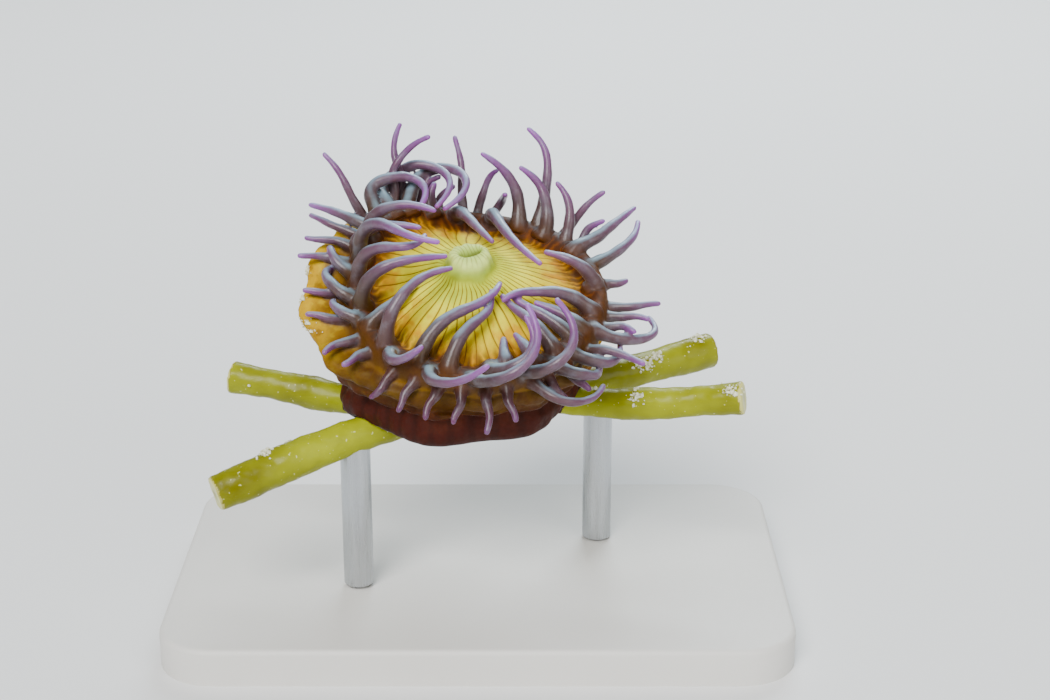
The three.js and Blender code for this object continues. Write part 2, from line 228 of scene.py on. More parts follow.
# Each tentacle: row, pose, place round the disc, length in mm, and how far it turns aside and its tip more.
# Round the disc 0 is right, 90 back, 180 left and 270 front.
tentacles = [
    # right
    ("outer", "spread", 356, 6, -10, 30), ("inner", "fold", 5, 8, -40, 10),
    ("outer", "spread", 12, 3, -10, 0), ("middle", "spread", 22, 10, 50, 30),
    ("outer", "spread", 28, 4, 0, 0), ("inner", "spread", 34, 10, 20, 0),
    # back
    ("outer", "rear", 39, 5, -20, 0), ("middle", "rear", 44, 8, 90, 40),
    ("outer", "rear", 50, 8, -80, 60), ("inner", "rear", 55, 9, 120, 10),
    ("middle", "rear", 61, 13, 40, 70), ("inner", "rear", 70, 10, 120, -10),
    ("outer", "rear", 86, 8, -240, 20), ("outer", "rear", 92, 8, -60, -120),
    ("inner", "lay", 84, 17, 50, 0), ("outer", "rear", 98, 10, 0, 0),
    ("inner", "lay", 103, 11, 25, 0), ("outer", "rear", 110, 5, -100, -60),
    ("inner", "rear", 115, 4, -60, 0), ("outer", "rear", 119, 6, -130, 0),
    # back left
    ("inner", "arch", 127, 19, -290, -10), ("outer", "rear", 126, 11, -60, 0),
    ("inner", "arch", 136, 19, -280, -10), ("outer", "rear", 132, 12, -160, -10),
    ("inner", "arch", 144, 16, -270, -20), ("outer", "rear", 145, 10, -10, 0),
    ("middle", "spread", 149, 8, 0, 20), ("outer", "spread", 151, 7, 10, 0),
    ("inner", "fold", 155, 11, 40, -50), ("outer", "spread", 158, 6, 20, 0),
    ("middle", "fold", 162, 10, 20, -20), ("outer", "spread", 166, 6, 10, 0),
    # left
    ("inner", "fold", 167, 16, -70, 80), ("middle", "spread", 173, 6, -100, 0),
    ("inner", "fold", 179, 14, -50, 150), ("outer", "spread", 180, 5, 10, 0),
    ("middle", "arch", 186, 9, -150, 0), ("inner", "fold", 192, 13, -10, 10),
    ("outer", "spread", 193, 5, -20, 0), ("middle", "arch", 199, 7, -150, 0),
    ("inner", "lay", 206, 7, 30, 0), ("outer", "spread", 206, 5, 30, 0),
    ("outer", "spread", 216, 4, 10, 0), ("inner", "fold", 221, 13, 20, -50),
    # front
    ("middle", "hook", 228, 8, 190, 0), ("outer", "droop", 232, 4, -20, 0),
    ("inner", "lay", 241, 14, -70, 100), ("outer", "droop", 243, 4, -20, 0),
    ("middle", "hook", 249, 12, 140, 0), ("outer", "droop", 254, 4, -20, 0),
    ("inner", "lay", 257, 11, -60, 70), ("outer", "droop", 264, 4, -10, 0),
    ("middle", "hook", 268, 16, 240, 0), ("outer", "droop", 274, 5, 0, 0),
    ("inner", "hook", 277, 11, 240, 0), ("outer", "droop", 283, 4, 0, 0),
    ("inner", "lay", 284, 4, -20, 0), ("middle", "hook", 290, 14, 240, 0),
    ("outer", "trail", 295, 11, 160, 0),
    # front right
    ("inner", "lay", 298, 4, 10, 0), ("outer", "droop", 302, 4, 20, 0),
    ("middle", "trail", 306, 10, 180, 0), ("inner", "lay", 310, 9, 10, 10),
    ("outer", "droop", 312, 4, 20, 0), ("middle", "trail", 317, 10, 160, 0),
    ("inner", "lay", 322, 8, 20, 0), ("outer", "spread", 326, 7, 10, 0),
    ("inner", "lay", 331, 6, 10, 0), ("middle", "trail", 336, 12, 110, 60),
    ("outer", "spread", 342, 4, 0, 0), ("inner", "lay", 345, 11, 50, 0),
    ("outer", "spread", 350, 5, -10, 0),
]
fineStep = 0.4
stepsPerRing = 6
hookFrom = 0.6


def middleLine(row, kind, at, length, turn, hook):
    reach, height, _ = rows[row]
    rings = max(3, math.floor(length / (fineStep * stepsPerRing) + 0.5))
    steps = rings * stepsPerRing
    share = (np.arange(steps) + 0.5) / steps
    rise = np.radians(np.interp(share, [0, 0.5, 1], poses[kind]))
    heading = np.radians(at + turn * share + hook * smoothstep(share, hookFrom, 1))
    level = np.cos(rise)
    ways = together(level * np.cos(heading), level * np.sin(heading), np.sin(rise))
    start = rimPoints(np.radians(float(at)), reach, height)
    return np.vstack([start, start + np.cumsum(ways * length / steps, axis=0)])


def halfWidth(row, share):
    width = rows[row][2]
    return (width + (crown["tipWidth"] - width) * share ** crown["taper"]) / 2


# Where tentacles meet each other or the disc they give way, and their roots stay put.
contact = dict(clearance=0.24, rootHold=(0.3, 1.6), rounds=90, longestPush=0.15, ownReach=4, searchEvery=5,
               searchMargin=0.4, give=0.25, lift=0.5, liftWithin=1.1, straighten=0.2)


def settle(lines):
    counts = [len(line) for line in lines]
    beads = np.vstack(lines)
    strings = np.split(beads, np.cumsum(counts)[:-1])
    owner = np.repeat(np.arange(len(lines)), counts)
    share = np.concatenate([np.linspace(0, 1, n) for n in counts])
    along = share * np.array([tentacles[i][3] for i in owner])
    radius = np.array([halfWidth(tentacles[i][0], s) for i, s in zip(owner, share)])
    hold = smoothstep(along, *contact["rootHold"])[:, None]
    first, second = np.triu_indices(len(beads), 1)
    farAlong = np.abs(along[first] - along[second]) >= contact["ownReach"]
    apartEnough = (owner[first] != owner[second]) | farAlong
    first, second = first[apartEnough], second[apartEnough]
    room = radius[first] + radius[second] + contact["clearance"]
    for turn in range(contact["rounds"]):
        if turn % contact["searchEvery"] == 0:
            spread = 2 * contact["longestPush"] * contact["searchEvery"] + contact["searchMargin"]
            near = lengths(beads[first] - beads[second]) < room + spread
            a, b, need = first[near], second[near], room[near]
        gap = beads[a] - beads[b]
        distance = lengths(gap)
        tight = (distance < need) & (distance > 0)
        yielding = contact["give"] * (need[tight] - distance[tight]) / distance[tight]
        shove = gap[tight] * yielding[:, None]
        push = np.zeros_like(beads)
        np.add.at(push, a[tight], shove)
        np.add.at(push, b[tight], -shove)
        angle = np.arctan2(beads[:, 1], beads[:, 0])
        across = np.hypot(beads[:, 0], beads[:, 1] / crown["stretch"]) / disc["radius"]
        low = discHeight(angle, across) + radius + contact["clearance"] - beads[:, 2]
        push[:, 2] += contact["lift"] * np.maximum(0, np.where(across < contact["liftWithin"], low, 0))
        push *= np.minimum(1, contact["longestPush"] / np.maximum(lengths(push), tiny))[:, None]
        beads += push * hold
        for line in strings:
            for i in range(2, len(line) - 1):
                line[i] += contact["straighten"] * ((line[i - 1] + line[i + 1]) / 2 - line[i])
    return strings


# A ring of points is extruded into a tube along +Z, closed at both ends, for the long soft shapes.
def makeTube(name, sides, rings):
    bpy.ops.mesh.primitive_circle_add(vertices=sides, radius=1)
    tube = bpy.context.object
    tube.name = name
    bpy.ops.object.mode_set(mode="EDIT")
    bpy.ops.mesh.select_all(action="SELECT")
    for _ in range(rings):
        bpy.ops.mesh.extrude_region_move(TRANSFORM_OT_translate={"value": (0, 0, 1)})
    bpy.ops.mesh.edge_face_add()
    bpy.ops.mesh.select_all(action="DESELECT")
    bpy.ops.mesh.select_non_manifold()
    bpy.ops.mesh.edge_face_add()
    bpy.ops.object.mode_set(mode="OBJECT")
    faceOutward(tube)
    bpy.ops.object.shade_smooth()
    return tube


def ringAndSide(tube, sides):
    points = getPoints(tube)
    ring = np.rint(points[:, 2]).astype(int)
    side = np.rint(np.arctan2(points[:, 1], points[:, 0]) / (2 * math.pi) * sides).astype(int) % sides
    return ring, side


# One plain tube is made, and each tentacle is a copy of it, bent along its own line.
tentacle = dict(sides=12, lengthRings=36, tipRings=5, tipSpare=0.4, rootSink=0.5, rootBlend=(-0.2, 0.9),
                rootZone=3.6, flare=0.45, flareLength=0.5, ripple=0.045, ripples=2.6, sway=0.26, sways=5.5,
                swayShift=2.4, swayFrom=(0.1, 0.6), droopTintAndShade=1.0, outerTintAndShade=0.3)


def swayed(line, index):
    onLine = np.linspace(0, 1, len(line))
    aside = np.cross(line[-1] - line[0], [0, 0, 1.0])
    swing = tentacle["sway"] * np.sin(tentacle["sways"] * onLine + tentacle["swayShift"] * index)
    swing *= smoothstep(onLine, *tentacle["swayFrom"])
    return line + swing[:, None] * unit(aside)


# A piece that lies along X is bent along a curve through the points.
def bendAlong(piece, points):
    route = bpy.data.curves.new("route", "CURVE")
    route.dimensions = "3D"
    spline = route.splines.new("POLY")
    spline.points.add(len(points) - 1)
    spline.points.foreach_set("co", np.hstack([points, np.ones((len(points), 1))]).ravel())
    guide = bpy.data.objects.new("route", route)
    bpy.context.collection.objects.link(guide)
    applyNew(piece, "CURVE", object=guide, deform_axis="POS_X")
    bpy.data.objects.remove(guide)


# Three attributes guide the finish. "arm" is how much a point belongs to a tentacle, its place along it
# and how low it hangs, which darkens it to maroon with painted shade. "around" is its direction from the
# middle and its zone on the body. "own" is a chance number for each tentacle, how far the skin faces up,
# which sets a painted highlight, and how far a furrow wanders.
def makeTentacle(master, index, line):
    row, kind, at = tentacles[index][:3]
    piece = copyOf(master)
    if row == "outer":
        line = swayed(line, index)
    ring, side = ringAndSide(piece, tentacle["sides"])
    tip = crown["tipWidth"] / 2
    sink = tentacle["rootSink"]
    tipShare = np.clip((ring - tentacle["lengthRings"]) / (tentacle["tipRings"] + tentacle["tipSpare"]), 0, 1)
    onTip = tipShare * math.pi / 2
    reach = lengths(np.diff(line, axis=0)).sum()
    along = np.minimum(ring / tentacle["lengthRings"], 1) * (reach + sink - tip) + tip * np.sin(onTip) - sink
    share = np.clip(along / reach, 0, 1)
    radius = halfWidth(row, share) * np.cos(onTip)
    radius *= 1 + tentacle["flare"] * np.exp(-np.maximum(along, 0) / tentacle["flareLength"])
    radius *= 1 + tentacle["ripple"] * np.sin(along * tentacle["ripples"] + index)
    angle = side / tentacle["sides"] * 2 * math.pi
    setPoints(piece, together(along + sink, radius * np.cos(angle), radius * np.sin(angle)) * mm)
    rootEnd = line[0] - unit(line[1] - line[0]) * sink
    bendAlong(piece, placed(np.vstack([rootEnd, line]), crownPlace) * mm)
    # Drooping and outer tentacles are marked for a dark maroon, partly their tone and partly painted shade.
    low = tentacle["droopTintAndShade"] if kind == "droop" else tentacle["outerTintAndShade"] * (row == "outer")
    setVectors(piece, "arm", together(smoothstep(along, *tentacle["rootBlend"]), share, low))
    root = math.radians(at)
    setVectors(piece, "around", [math.cos(root), math.sin(root), tentacle["rootZone"]])
    setVectors(piece, "own", [rng.uniform(), 0, 0])
    return piece


# Foot, column, collar, margin, disc and lips are one tube, laid on rings. Each ring has its zone:
# 0 to 1 foot, 2 column, 3 collar, 4 margin, 5 disc, 6 lips.
body = dict(sides=360, rings=150, ribs=18, ribDepth=0.35, swell=0.6, collarTop=-1.9, collarDepth=2.2,
            lobe=0.42, lobes=15, pleat=0.07, pleats=38, lump=0.95, lumpSize=2.6, wrinkle=0.22,
            wrinkleSize=0.7, roughFrom=(0.4, 1.2), roughTo=(2.9, 3.3), roughSteps=10,
            ringSpread=0.7)


def footRing(angle, radius, height, lobe=0.3):
    reach = radius + lobe * np.cos(foot["lobes"] * angle)
    return placed(together(reach * np.cos(angle), reach * np.sin(angle), height), footPlace)


# The body bulges out and up into a shoulder at its left.
def rimRing(angle, reach, height, shoulder=0.0):
    bulge = crown["shoulderReach"] * np.maximum(0, np.cos(angle - math.radians(crown["shoulderAt"]))) ** 2
    out = shoulder * bulge
    return placed(rimPoints(angle, reach + out, height + crown["shoulderLift"] * out), crownPlace)


def discRing(angle, share):
    radius = (crown["radius"] + disc["edge"] + crown["waveReach"] * waveOf(angle)) * share
    x = radius * np.cos(angle) + disc["mouthShift"] * (1 - share)
    y = crown["stretch"] * radius * np.sin(angle)
    return placed(together(x, y, discHeight(angle, share) - disc["sink"]), crownPlace)


# Lips: rings that close from a round knob to a slit.
lips = dict(seat=0.28, slitTurn=22, slitLong=1.45, slitWide=0.14, slitShift=0.2, folds=11, uneven=0.35,
            wander=1.6, lean=0.1)


def lipRing(angle, radius, height, slit, fold):
    base = float(discHeight(0.0, lips["seat"]))
    turn = math.radians(lips["slitTurn"])
    uneven = 1 - lips["uneven"] + lips["uneven"] * np.sin(3 * angle + 2)
    wrinkle = 1 + fold * uneven * np.cos(lips["folds"] * angle + lips["wander"] * np.sin(2 * angle))
    onLong = lips["slitLong"] * np.cos(angle - turn)
    onWide = lips["slitWide"] * np.sin(angle - turn)
    slitX = onLong * math.cos(turn) - onWide * math.sin(turn)
    slitY = onLong * math.sin(turn) + onWide * math.cos(turn)
    x = (radius * np.cos(angle) * (1 - slit) + slitX * slit) * wrinkle
    y = (radius * np.sin(angle) * (1 - slit) + slitY * slit) * wrinkle
    lift = base + height + lips["lean"] * np.sin(2 * angle + 1) * (1 - slit)
    return placed(together(x + disc["mouthShift"] + lips["slitShift"] * slit, y, lift), crownPlace)


def bodyRings(angle):
    low = -foot["depth"]
    wide = foot["radius"]
    pleats = body["pleat"] * np.sin(body["pleats"] * angle + 3 * np.sin(3 * angle))
    rings = [(0.0, footRing(angle, 0.2, low)),
             (0.2, footRing(angle, 6, low)),
             (0.5, footRing(angle, wide - 1.4, low, 0.5)),
             (0.7, footRing(angle, wide + pleats, low + 1, 0.5)),
             (0.9, footRing(angle, wide + 0.3 + pleats, -1.2, 0.4))]
    collarTop = body["collarTop"]
    collarLow = collarTop - body["collarDepth"]

    # The column goes from the foot to the collar and swells between them.
    bottom = footRing(angle, wide - 0.2 + pleats, 0.2)
    top = rimRing(angle, 0.1, collarLow - 0.3, 0.85)
    ribs = np.cos(body["ribs"] * angle) + 0.5 * np.cos(2 * body["ribs"] * angle + 1)
    for share in [0, 0.25, 0.5, 0.75, 1]:
        swell = body["swell"] * math.sin(math.pi * share) * (1 + body["ribDepth"] * ribs)
        ring = bottom * (1 - share) + top * share
        ring[:, 0] += swell * np.cos(angle)
        ring[:, 1] += swell * np.sin(angle)
        rings.append((1 + share, ring))

    # Collar and margin: zone, how far out from the rim, height, and how much of the shoulder.
    lobes = body["lobe"] * np.cos(body["lobes"] * angle + 2.5 * np.sin(2 * angle + 1))
    margin = [(2.3, 0.65, collarLow + 0.7, 1), (2.6, 0.85, collarTop - 0.6, 0.9),
              (2.9, 0.5, collarTop + 0.1, 0.55), (3.1, 0.75, -1.4, 0.2), (3.3, 0.9, -0.6, 0),
              (3.6, 0.45, 0.7, 0), (3.8, -0.6, 0.85, 0), (4.0, -1.4, 0.35, 0)]
    for zone, reach, height, shoulder in margin:
        rings.append((zone, rimRing(angle, reach + lobes * shoulder, height, shoulder)))

    # Disc: zone and share of its radius.
    for zone, share in [(4.05, 0.97), (4.2, 0.85), (4.4, 0.7), (4.6, 0.55), (4.8, 0.42), (4.92, 0.32)]:
        rings.append((zone, discRing(angle, share)))

    # Mouth: zone, radius, height, share of the slit and depth of the folds.
    mouth = [(5.0, 2.75, 0, 0, 0), (5.15, 2.4, 0.6, 0, 0.02), (5.35, 2.2, 1.4, 0, 0.06),
             (5.5, 1.8, 1.95, 0.1, 0.1), (5.65, 1.25, 1.95, 0.5, 0.14), (5.85, 0.9, 1.55, 0.92, 0.08),
             (6.0, 0.7, 0.7, 1, 0)]
    return rings + [(zone, lipRing(angle, *sizes)) for zone, *sizes in mouth]


# A smooth surface through the rings is cut into new ones, closer together where the given ones are.
def throughRings(stack, wanted):
    gaps = lengths(np.diff(stack, axis=0)).mean(1) ** body["ringSpread"]
    knots = np.concatenate([[0], np.cumsum(gaps)]) / gaps.sum()
    places = np.linspace(0, 1, wanted)
    slopes = np.gradient(stack, knots, axis=0)
    at = np.clip(np.searchsorted(knots, places, side="right") - 1, 0, len(knots) - 2)
    span = (knots[at + 1] - knots[at])[:, None, None]
    t = (places - knots[at])[:, None, None] / span
    sheet = ((2 * t ** 3 - 3 * t ** 2 + 1) * stack[at] + (t ** 3 - 2 * t ** 2 + t) * span * slopes[at]
             + (3 * t ** 2 - 2 * t ** 3) * stack[at + 1] + (t ** 3 - t ** 2) * span * slopes[at + 1])
    return sheet, places, knots


# Where the flesh meets the seaweed it lies on it.
def drape(points):
    for route, radius in seaweedTubes():
        line = throughPoints(route, stem["rings"]) + [0, 0, perchHeight]
        gap = points[:, None, :] - line[None]
        nearest = lengths(gap).argmin(1)
        gap = gap[np.arange(len(points)), nearest]
        room = radius * (1 + stem["swell"]) + stem["fleshGap"]
        points += unit(gap) * np.maximum(0, room - lengths(gap))[:, None]
    return points


def makeBody():
    piece = makeTube("body", body["sides"], body["rings"] - 1)
    ring, side = ringAndSide(piece, body["sides"])
    angle = np.arange(body["sides"]) / body["sides"] * 2 * math.pi
    zones, stack = zip(*bodyRings(angle))
    sheet, places, knots = throughRings(np.array(stack), body["rings"])
    points = drape(sheet[ring, side])
    setPoints(piece, points * mm)
    zone = np.interp(places, knots, zones)[ring]
    setVectors(piece, "arm", [0, 0, 0])
    setVectors(piece, "around", together(np.cos(angle[side]), np.sin(angle[side]), zone))
    setVectors(piece, "own", [0, 0, 0])
    faceOutward(piece)
    rough = smoothstep(zone, *body["roughFrom"]) * (1 - smoothstep(zone, *body["roughTo"]))
    group = piece.vertex_groups.new(name="column")
    steps = body["roughSteps"]
    for level in range(1, steps + 1):
        group.add(np.flatnonzero(np.rint(rough * steps) == level).tolist(), level / steps, "REPLACE")
    for name in ("lump", "wrinkle"):
        roughen(piece, name, body[name + "Size"], body[name], "column")
    return piece


# One skin is wrapped round the body and the tentacles, soft where they meet. The disc stays finest.
skin = dict(voxel=0.142, softRounds=6, keep=0.305, spareWeight=3.0, blendRounds=6, toneRounds=2,
            fineWithin=0.92, fineMouth=0.26, fineBelow=0.6, fineAbove=0.3, highlightFrom=0.6,
            furrow=0.075, furrowWidth=1.6, furrowLevel=0.6, furrowFrom=(4.03, 4.14), furrowTo=(4.9, 5.05),
            furrowClear=(0, 0.3))


# Each point takes the named values from the nearest place on the source.
def carryVectors(source, piece, names):
    source.data.calc_loop_triangles()
    corners = readRows(source.data.loop_triangles, "vertices", 3, np.int32)
    points = getPoints(source)
    tree = BVHTree.FromPolygons(points.tolist(), corners.tolist())
    hits = [tree.find_nearest(point) for point in getPoints(piece).tolist()]
    face = corners[[hit[2] for hit in hits]]
    a, b, c = (points[face[:, i]] for i in range(3))
    ab, ac, ap = b - a, c - a, np.array([hit[0] for hit in hits]) - a
    abab, abac, acac = (ab * ab).sum(1), (ab * ac).sum(1), (ac * ac).sum(1)
    apab, apac = (ap * ab).sum(1), (ap * ac).sum(1)
    scale = np.maximum(abab * acac - abac ** 2, 1e-30)
    onB = np.clip((acac * apab - abac * apac) / scale, 0, 1)[:, None]
    onC = np.clip((abab * apac - abac * apab) / scale, 0, 1)[:, None]
    found = []
    for name in names:
        atA, atB, atC = (getVectors(source, name)[face[:, i]] for i in range(3))
        found.append(atA * (1 - onB - onC) + atB * onB + atC * onC)
    return found


def softened(piece, values, rounds):
    edges = readRows(piece.data.edges, "vertices", 2, np.int32)
    a, b = edges.T
    count = np.bincount(edges.ravel(), minlength=len(values))[:, None]
    for _ in range(rounds):
        total = np.zeros_like(values)
        np.add.at(total, a, values[b])
        np.add.at(total, b, values[a])
        values = 0.5 * values + 0.5 * total / np.maximum(count, 1)
    return values


# Faces that the thinning leaves loose are deleted: only what is linked to the lowest point stays.
def keepLinked(piece):
    pick(piece)
    clearSelection(piece.data, "points")
    piece.data.vertices[int(getPoints(piece)[:, 2].argmin())].select = True
    bpy.ops.object.mode_set(mode="EDIT")
    bpy.ops.mesh.select_linked()
    bpy.ops.mesh.select_all(action="INVERT")
    bpy.ops.mesh.delete(type="VERT")
    bpy.ops.object.mode_set(mode="OBJECT")


# The furrows wander, but not where they meet the lips.
def furrowWander(angle, zone):
    wander = 0.5 * np.sin(5 * angle + 6 * zone) + 0.35 * np.sin(11 * angle - 5 * zone + 1)
    return wander * smoothstep(5 - zone, 0, 0.5)


# True on the disc and the mouth, and false on tentacles that lie over them.
def onFace(piece):
    local = placed(getPoints(piece) / mm, crownPlace.inverted())
    angle = np.arctan2(local[:, 1], local[:, 0])
    across = np.hypot(local[:, 0], local[:, 1] / crown["stretch"]) / disc["radius"]
    over = local[:, 2] - discHeight(angle, across)
    nearDisc = (over > -skin["fineBelow"]) & ((over < skin["fineAbove"]) | (across < skin["fineMouth"]))
    return (across < skin["fineWithin"]) & nearDisc


def wrapSkin(source):
    pick(source)
    bpy.ops.object.duplicate()
    piece = bpy.context.object
    piece.name = "seaAnemone"
    fuse(piece, skin["voxel"], skin["softRounds"])
    print("skin wrapped:", len(piece.data.polygons), "faces")
    group = piece.vertex_groups.new(name="spare")
    group.add(np.flatnonzero(~onFace(piece)).tolist(), 1.0, "REPLACE")
    applyNew(piece, "DECIMATE", ratio=skin["keep"], vertex_group="spare",
             vertex_group_factor=skin["spareWeight"])
    keepLinked(piece)
    print("skin thinned:", len(piece.data.polygons), "faces")
    arm, around, own = carryVectors(source, piece, ["arm", "around", "own"])
    arm = softened(piece, arm, skin["blendRounds"])
    around = softened(piece, around, skin["toneRounds"])
    own = softened(piece, own, skin["toneRounds"])
    angle = np.arctan2(around[:, 1], around[:, 0])
    zone = around[:, 2]
    normals = getNormals(piece)
    # Painted highlight: the more the skin faces up, the paler blue a tentacle is painted there.
    own[:, 1] = smoothstep(normals[:, 2], skin["highlightFrom"], 1)
    own[:, 2] = furrowWander(angle, zone)
    wave = np.abs(np.sin(disc["lines"] / 2 * angle + own[:, 2]))
    onDisc = smoothstep(zone, *skin["furrowFrom"]) * (1 - smoothstep(zone, *skin["furrowTo"]))
    onDisc *= 1 - smoothstep(arm[:, 0], *skin["furrowClear"])
    depth = skin["furrow"] * (np.minimum(wave * skin["furrowWidth"], 1) - skin["furrowLevel"]) * onDisc
    setPoints(piece, getPoints(piece) + normals * depth[:, None] * mm)
    setVectors(piece, "arm", arm)
    setVectors(piece, "around", around)
    setVectors(piece, "own", own)
    bpy.data.objects.remove(source)
    pick(piece)
    bpy.ops.object.shade_smooth()
    return piece


# Seaweed: a stem with a fork on each side, cut across at every end.
stem = dict(radius=1.9, branchRadius=1.7, sides=32, rings=60, swell=0.06, swells=13.6, fleshGap=0.05,
            voxel=0.22, softRounds=6, lumpSize=2.2, rough=0.34, cutDepth=0.35, cutReach=2.6, uncut=9.0,
            cutRim=4.0, heart=2.2,
            route=[(-27, -12, -5.5), (-13, -6, -1.5), (0, 0, 0), (13, 6, 0.3), (26, 12, 1.6)],
            branches=[[(-6, -2.4, -0.5), (-16, 0.6, 0.4), (-27, 3, 1.8)],
                      [(5, 2.4, 0), (16, -0.6, 0), (28, -4, 2)]])


def seaweedTubes():
    return [(stem["route"], stem["radius"])] + [(route, stem["branchRadius"]) for route in stem["branches"]]


def throughPoints(route, count):
    route = np.array(route, dtype=float)
    padded = np.vstack([2 * route[0] - route[1], route, 2 * route[-1] - route[-2]])
    place = np.linspace(0, len(route) - 1, count)
    at = np.minimum(place.astype(int), len(route) - 2)
    t = (place - at)[:, None]
    a, b, c, d = (padded[at + i] for i in range(4))
    curved = (2 * a - 5 * b + 4 * c - d) * t ** 2
    return 0.5 * (2 * b + (c - a) * t + curved + (3 * b - a - 3 * c + d) * t ** 3)


def makeStemTube(route, radius):
    rings = stem["rings"]
    piece = makeTube("stem", stem["sides"], rings)
    ring, side = ringAndSide(piece, stem["sides"])
    line = throughPoints(route, rings + 1)
    along = unit(np.gradient(line, axis=0))
    flat = unit(np.cross(along, [0, 0, 1.0]))
    up = np.cross(flat, along)
    reach = radius * (1 + stem["swell"] * np.sin(ring / rings * stem["swells"]))
    angle = side / stem["sides"] * 2 * math.pi
    across = flat[ring] * (reach * np.cos(angle))[:, None]
    upward = up[ring] * (reach * np.sin(angle))[:, None]
    setPoints(piece, (line[ring] + across + upward + [0, 0, perchHeight]) * mm)
    faceOutward(piece)
    return piece


# How far a point on a cut end is from its middle, in mm. What isn't on a cut gets a large value.
def fromCutMiddle(points):
    found = np.full(len(points), stem["uncut"])
    for route in [stem["route"][::-1], stem["route"], *stem["branches"]]:
        before, end = np.array(route[-2:], dtype=float)
        way = unit(end - before)
        gap = points - (end + [0, 0, perchHeight])
        behind = gap @ way
        radial = lengths(gap - behind[:, None] * way)
        onCut = (behind > -stem["cutDepth"]) & (radial < stem["cutReach"])
        found = np.where(onCut, np.minimum(found, radial), found)
    return found


def makeSeaweed():
    pick(*[makeStemTube(route, radius) for route, radius in seaweedTubes()])
    bpy.ops.object.join()
    piece = bpy.context.object
    piece.name = "seaweedStem"
    fuse(piece, stem["voxel"], stem["softRounds"])
    roughen(piece, "lumps", stem["lumpSize"], stem["rough"])
    setVectors(piece, "cut", fromCutMiddle(getPoints(piece) / mm)[:, None])
    pick(piece)
    bpy.ops.object.shade_smooth()
    return piece


# Grit and tiny growths that cling to the seaweed and the shoulder, most of them in clusters.
grit = dict(onStem=330, stemClusters=10, fromMiddle=11, underside=-0.1, onShoulder=60, shoulderClusters=6,
            shoulderZones=(1.7, 2.7), shoulderSide=-0.88, clusterReach=0.6, stray=0.0008, jitter=0.1,
            size=(0.06, 0.26), sizeCurve=1.6, stretch=(0.6, 1.3), lift=0.4, rough=0.5)


def gritSpots(carrier, fit, count, clusterCount):
    points = getPoints(carrier)
    normals = getNormals(carrier)
    fit = np.flatnonzero(fit)
    clusters = points[rng.choice(fit, clusterCount)]
    away = lengths(points[fit][:, None] - clusters[None]).min(1)
    weight = np.exp(-(away / (grit["clusterReach"] * mm)) ** 2) + grit["stray"]
    spots = []
    for i in rng.choice(fit, count, replace=False, p=weight / weight.sum()):
        aside = np.cross(normals[i], rng.normal(size=3)) * grit["jitter"] * mm
        spots.append((points[i] + aside, normals[i]))
    return spots


def makeGrit(seaweed, flesh):
    bpy.ops.mesh.primitive_ico_sphere_add(subdivisions=1, radius=1)
    master = bpy.context.object
    lumps = bpy.data.textures["lumps"]
    applyNew(master, "DISPLACE", texture=lumps, strength=grit["rough"], texture_coords="GLOBAL")
    shape = getPoints(master)
    farOut = np.abs(getPoints(seaweed)[:, 0]) > grit["fromMiddle"] * mm
    onTop = getNormals(seaweed)[:, 2] > grit["underside"]
    spots = gritSpots(seaweed, farOut & onTop, grit["onStem"], grit["stemClusters"])
    x, _, zone = getVectors(flesh, "around").T
    low, high = grit["shoulderZones"]
    onShoulder = (zone > low) & (zone < high) & (x < grit["shoulderSide"])
    spots += gritSpots(flesh, onShoulder, grit["onShoulder"], grit["shoulderClusters"])
    smallest, largest = grit["size"]
    grains = []
    for spot, normal in spots:
        grain = copyOf(master)
        size = (smallest + (largest - smallest) * rng.uniform() ** grit["sizeCurve"]) * mm
        stretch = rng.uniform(*grit["stretch"], 3)
        setPoints(grain, shape * stretch * size + spot + normal * size * grit["lift"])
        grains.append(grain)
    bpy.data.objects.remove(master)
    pick(*grains)
    bpy.ops.object.join()
    piece = bpy.context.object
    piece.name = "grit"
    return piece


# Stand: a board with rounded corners, and two rods.
stand = dict(width=66, depth=42, thickness=4, corner=6, cornerSteps=14, bevel=0.6, bevelSteps=5,
             smoothBelow=30, rodRadius=1.6, rodSides=48, rodSink=1.2, rodGap=0.3, rodBevel=0.25,
             rodBevelSteps=3, rodSmoothBelow=40)


def bevelEdges(piece, size, steps, wanted):
    mesh = piece.data
    clearSelection(mesh, "edges")
    for edge in mesh.edges:
        a, b = (mesh.vertices[i].co for i in edge.vertices)
        edge.select = wanted(a, b)
    bpy.ops.object.mode_set(mode="EDIT")
    bpy.ops.mesh.bevel(offset=size * mm, segments=steps, affect="EDGES")
    bpy.ops.object.mode_set(mode="OBJECT")


def makeBase():
    thickness = stand["thickness"] * mm
    bpy.ops.mesh.primitive_cube_add(size=1, location=(0, 0, thickness / 2))
    piece = bpy.context.object
    piece.name = "standBoard"
    piece.scale = (stand["width"] * mm, stand["depth"] * mm, thickness)
    bpy.ops.object.transform_apply()
    bevelEdges(piece, stand["corner"], stand["cornerSteps"], lambda a, b: abs(a.z - b.z) > thickness / 2)
    bevelEdges(piece, stand["bevel"], stand["bevelSteps"], lambda a, b: min(a.z, b.z) > thickness * 0.9)
    bpy.ops.object.shade_smooth_by_angle(angle=math.radians(stand["smoothBelow"]))
    return piece


